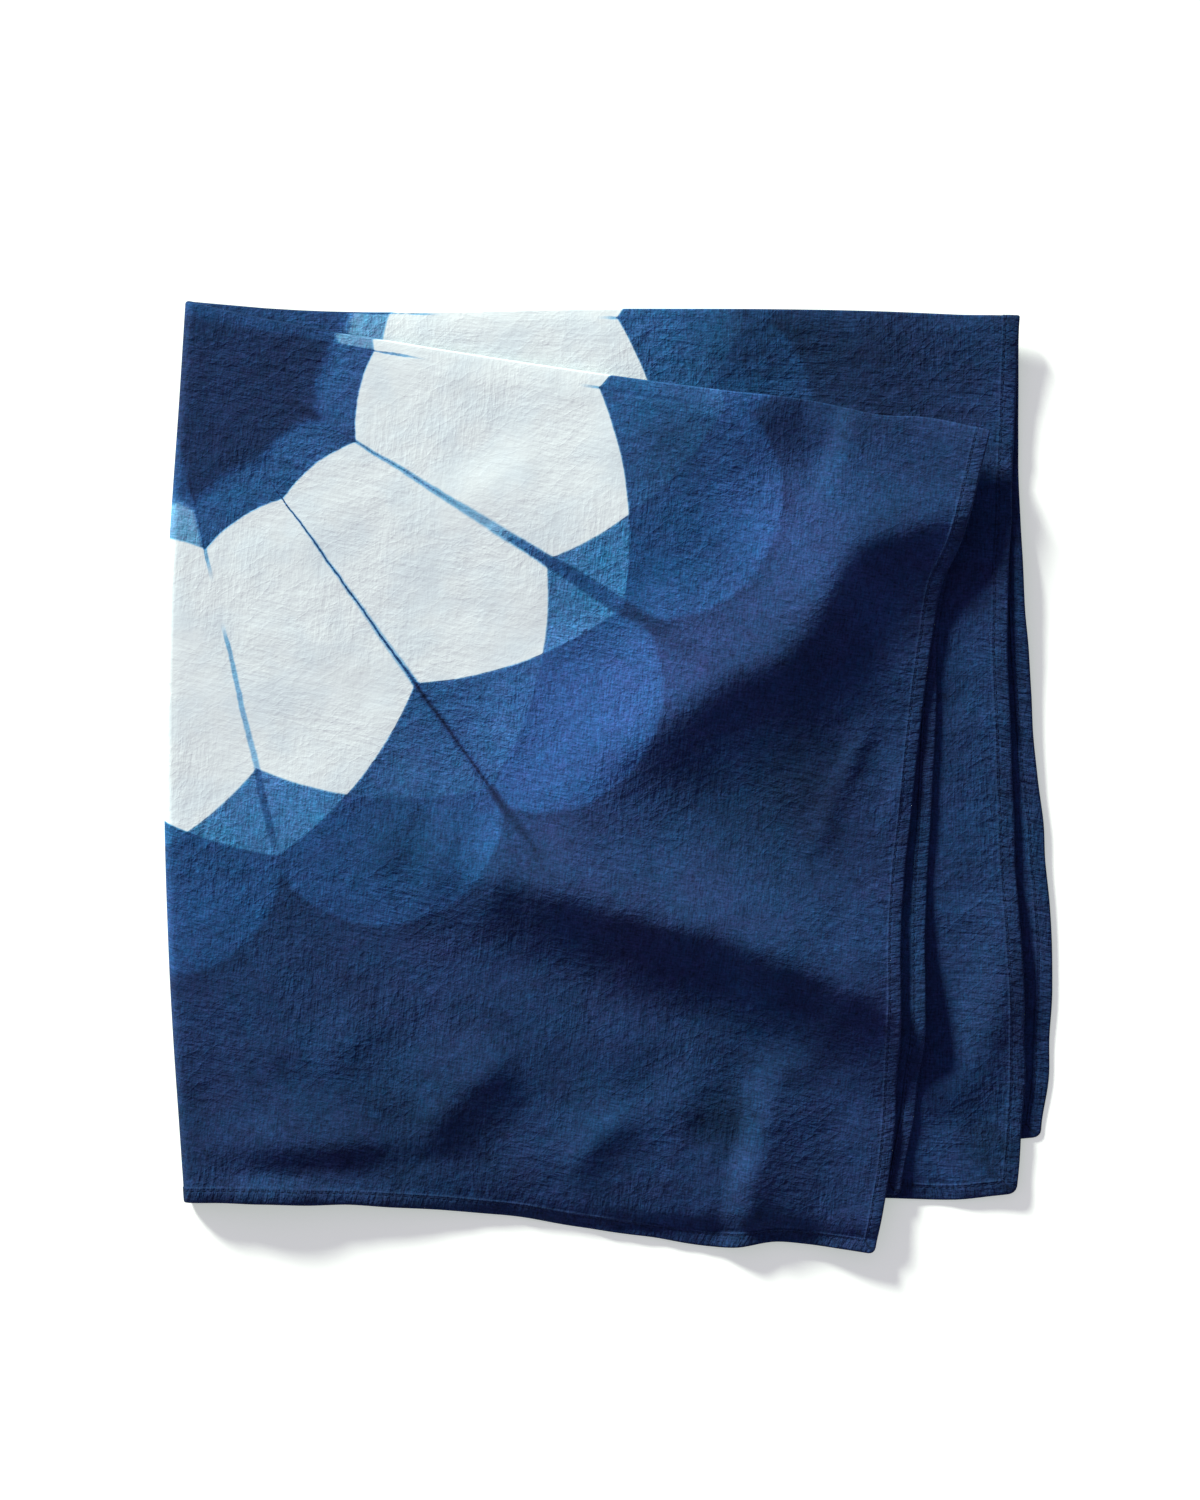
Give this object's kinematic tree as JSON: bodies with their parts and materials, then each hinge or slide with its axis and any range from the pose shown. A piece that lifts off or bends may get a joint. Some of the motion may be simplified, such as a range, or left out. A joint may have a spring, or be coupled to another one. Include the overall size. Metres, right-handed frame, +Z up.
{
  "type": "bandana",
  "caption": "Square cotton bandana with narrow sewn hems, folded twice into quarters and lying flat.",
  "frame": {"origin": "centre of the bounding box, on the surface that the cloth lies on", "axes": "+Z up from the surface, +Y towards the top folds, +X towards the open hems on the right"},
  "size_m": [0.2889, 0.3103, 0.0211],
  "materials": {
    "indigo_cotton": "washed cotton, indigo dyed by folding and dipping, with a white petal rosette, matt and slightly crinkled"
  },
  "bodies": {
    "root": {"bandana_cloth": "indigo_cotton"}
  },
  "joints": []
}
